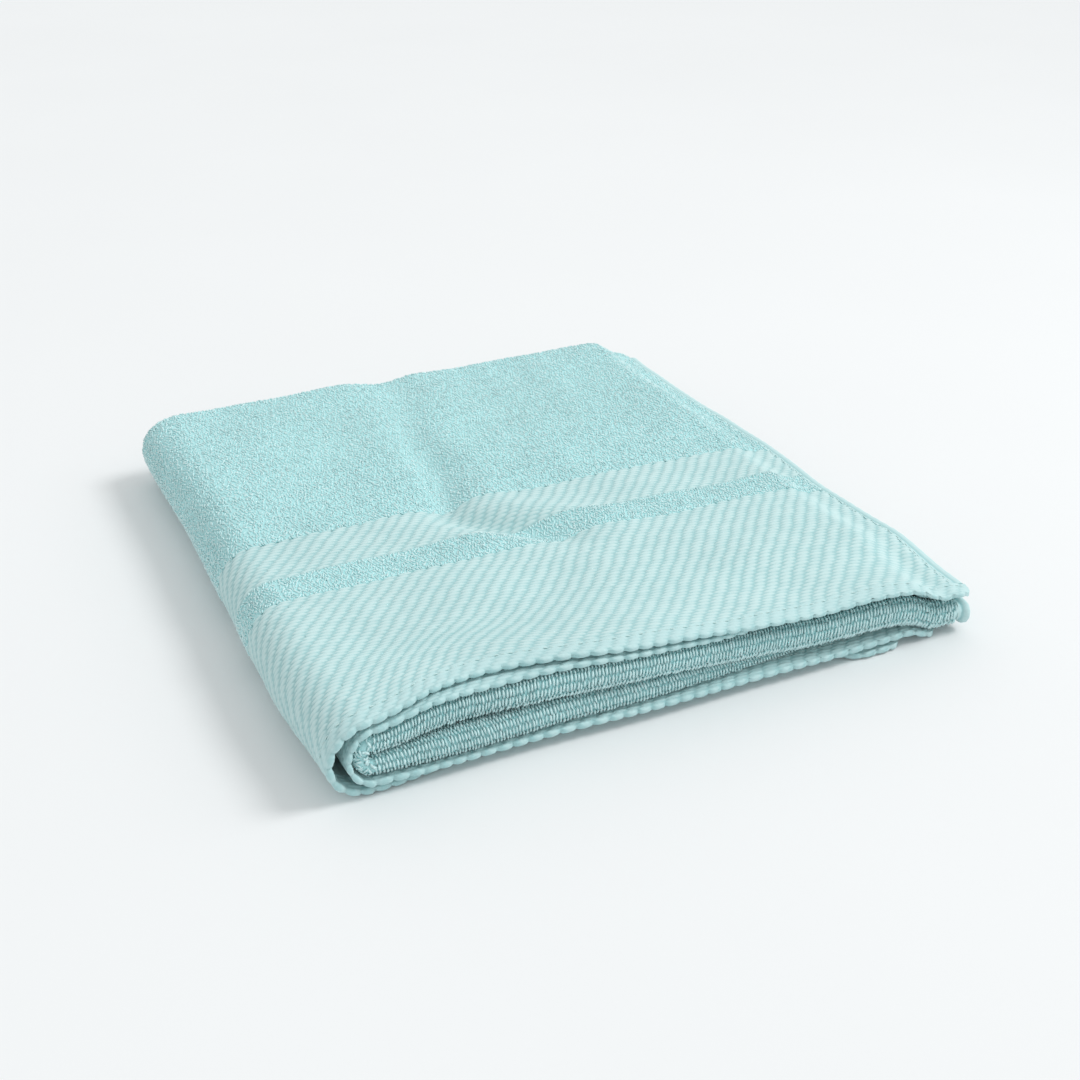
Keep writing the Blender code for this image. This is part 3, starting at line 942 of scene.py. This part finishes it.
class TOWEL_OT_side_hems(bpy.types.Operator):
    """The rolled hems along the long edges, which follow the cloth round its folds"""

    bl_idname = "towel.side_hems"
    bl_label = "Side Hems"

    def execute(self, context):
        s = steps(HEM_END, LENGTH - HEM_END, 1.7 * MM)
        from_edge = np.array([10.15, 9.2, 8.45, 7.7, 6.6, 6.0, 5.6, 5.2, 4.4, 3.4, 2.4, 1.6, 1.0, 0.5, 0.15, 0]) * MM
        across = 1 - from_edge / from_edge[0]
        for half in ("upper", "lower"):
            name, span = f"side_hem_cloth_{half}", arm_span(half, 0.0, SKEW)
            piece = closed_cloth(name, half, s, across, span, side_hem_face(half, 1.0), side_hem_face(half, 0.6))
            attach(piece, half, cotton(HEM_WEAVE), 0, 0, 0)
            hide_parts(f"side_hem_{half}")
        return {"FINISHED"}


def stitches(name, half, s, x, unit, way, lift):
    """A row of stitches, each a short plump capsule that lies along the seam and dips in at its ends."""
    pitch = towel_sizes().stitch_pitch
    length, thick = 0.82 * pitch, 0.30 * MM
    t = np.linspace(-1, 1, 6)[None, :, None]
    turn = (np.arange(6) * TURN / 6)[None, None, :]
    plump = np.sqrt(np.clip(1 - 0.98 * t**4, 0.02, 1))
    along = t * length / 2 * np.ones((len(s), 1, 6))
    aside = thick * plump * np.cos(turn) * np.ones((len(s), 1, 1))
    up = lift - 0.35 * MM * t**2 + thick * plump * np.sin(turn) * np.ones((len(s), 1, 1))
    ds, dx = (along, aside) if way == "s" else (aside, along)
    all_x = x[:, None, None] + dx / unit[:, None, None]
    points = place(half, s[:, None, None] + ds, all_x, up)
    corners, counts, _, _ = tube_faces(len(s), 5, 6)
    return new_piece(name, points, corners, counts, np.ones(points.shape[:-1]))[0]


class TOWEL_OT_stitches(bpy.types.Operator):
    """The seams that hold the hems down"""

    bl_idname = "towel.stitches"
    bl_label = "Hem Stitches"

    def execute(self, context):
        pitch = towel_sizes().stitch_pitch
        material = cotton(THREAD)
        seam = (low("end_hem_thread_outer_upper").y + high("end_hem_thread_outer_upper").y) / 2 - FRONT
        lift = HEM / 2 - 0.02 * MM
        for _, ply_name, half, _, _ in band_parts("end_hem"):
            at = seam if ply_name == "outer" else LENGTH - seam
            if half == "book_fold":
                unit, first, last = float(section(np.array([at]))[1][0]), 0.0, math.pi
            else:
                unit, first, last = 1.0, AXIS_X, float(right_end(half, np.array([at]))[0]) - 2 * MM
            count = round((last - first) * unit / pitch)
            x = first + (np.arange(count) + 0.5) * (last - first) / count
            ones = np.ones(count)
            piece = stitches(f"end_hem_stitches_{ply_name}_{half}", half, at * ones, x, unit * ones, "x", lift)
            attach(piece, half, material, at - MM, at + MM, CLOTH)
            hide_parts(f"end_hem_thread_{ply_name}_{half}")
        inset = RIGHT - (low("side_hem_thread_upper").x + high("side_hem_thread_upper").x) / 2
        for half in ("upper", "lower"):
            s = np.arange(HEM_END + pitch, LENGTH - HEM_END - pitch, pitch)
            ones = np.ones(len(s))
            piece = stitches(f"side_hem_stitches_{half}", half, s, right_end(half, s) - inset, ones, "s", lift)
            attach(piece, half, material, 0, 0, 0)
            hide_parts(f"side_hem_thread_{half}")
        return {"FINISHED"}


class TOWEL_OT_stage(bpy.types.Operator):
    """Plain pale floor, soft light and the camera"""

    bl_idname = "towel.stage"
    bl_label = "Stage"

    def execute(self, context):
        colours = context.scene.towel_colours
        bpy.ops.object.select_all(action="DESELECT")
        bpy.ops.mesh.primitive_circle_add(vertices=96, radius=9.0, fill_type="NGON", location=(0, 0, -0.2 * MM))
        floor = context.object
        floor.name = "stage_floor"
        # Matt emulsion paint, rolled: even and pale, with a very faint mottle.
        paint = bpy.data.materials.new("matt_emulsion_paint")
        paint.use_nodes = True
        tree = paint.node_tree
        tree.nodes.clear()
        where = add_node(tree, "TexCoord").outputs["Object"]
        mottle = add_node(tree, "TexNoise", [("Scale", 3.0), ("Detail", 3.0)], [("Vector", where)])
        pale = [min(1.0, c * 1.03) for c in colours.floor]
        tints = [("data_type", "RGBA"), (6, (*colours.floor, 1)), (7, (*pale, 1))]
        tint = add_node(tree, "Mix", tints, [(0, mottle.outputs["Fac"])])
        matt = [("Roughness", 0.9), ("Specular IOR Level", 0.1)]
        shader = add_node(tree, "BsdfPrincipled", matt, [("Base Color", tint.outputs[2])])
        add_node(tree, "OutputMaterial", [], [("Surface", shader.outputs["BSDF"])])
        floor.data.materials.append(paint)

        world = bpy.data.worlds.new("soft_room_light")
        context.scene.world = world
        world.use_nodes = True
        sky = world.node_tree.nodes["Background"]
        sky.inputs["Color"].default_value = (*colours.light, 1)
        sky.inputs["Strength"].default_value = 0.80

        # A broad key light from the right, and a large soft panel beside it.
        lights = (
            ("SUN", "key_light", (2, -1, 2), (0.95, -0.30, 1.05), {"energy": 1.2, "angle": math.radians(20)}),
            ("AREA", "side_light", (1.15, -0.45, 0.95), (1.1, -0.43, 0.9), {"size": 0.7, "energy": 2.4}),
        )
        for kind, name, place_at, towards, settings in lights:
            bpy.ops.object.light_add(type=kind, location=place_at)
            context.object.name = name
            context.object.rotation_euler = Vector(towards).to_track_quat("Z", "Y").to_euler()
            for setting, value in settings.items():
                setattr(context.object.data, setting, value)

        bpy.ops.object.camera_add(location=(-0.286, -0.655, 0.405))
        camera = context.object
        camera.name = "camera"
        camera.data.sensor_width = 36.0
        camera.data.lens = 46.8
        camera.data.clip_start = 0.01
        aim = Vector((0.003, -0.030, 0.020)) - camera.location
        camera.rotation_euler = aim.to_track_quat("-Z", "Y").to_euler()
        context.scene.camera = camera
        context.scene.view_settings.view_transform = "Standard"
        return {"FINISHED"}


class VIEW3D_PT_towel(bpy.types.Panel):
    """Lists the towel's sizes, colours and pieces"""

    bl_label = "Folded Bath Towel"
    bl_idname = "VIEW3D_PT_towel"
    bl_space_type = "VIEW_3D"
    bl_region_type = "UI"
    bl_category = "Towel"

    def draw(self, context):
        for title, group in (("Sizes", context.scene.towel_sizes), ("Colours", context.scene.towel_colours)):
            box = self.layout.box()
            box.label(text=title)
            for name in group.bl_rna.properties.keys():
                if name not in ("rna_type", "name"):
                    box.prop(group, name)
        for operator in OPERATORS:
            self.layout.operator(operator.bl_idname)


OPERATORS = (
    TOWEL_OT_terry_field,
    TOWEL_OT_borders,
    TOWEL_OT_stripes,
    TOWEL_OT_end_hems,
    TOWEL_OT_side_hems,
    TOWEL_OT_stitches,
    TOWEL_OT_stage,
)
CLASSES = (TowelSizes, TowelColours, *OPERATORS, VIEW3D_PT_towel)


def register():
    for cls in CLASSES:
        bpy.utils.register_class(cls)
    bpy.types.Scene.towel_sizes = bpy.props.PointerProperty(type=TowelSizes)
    bpy.types.Scene.towel_colours = bpy.props.PointerProperty(type=TowelColours)


def unregister():
    del bpy.types.Scene.towel_colours
    del bpy.types.Scene.towel_sizes
    for cls in reversed(CLASSES):
        bpy.utils.unregister_class(cls)


def main():
    register()
    bpy.ops.towel.terry_field()
    bpy.ops.towel.borders()
    bpy.ops.towel.stripes()
    bpy.ops.towel.end_hems()
    bpy.ops.towel.side_hems()
    bpy.ops.towel.stitches()
    bpy.ops.towel.stage()
    bpy.context.view_layer.update()


if __name__ == "__main__":
    main()
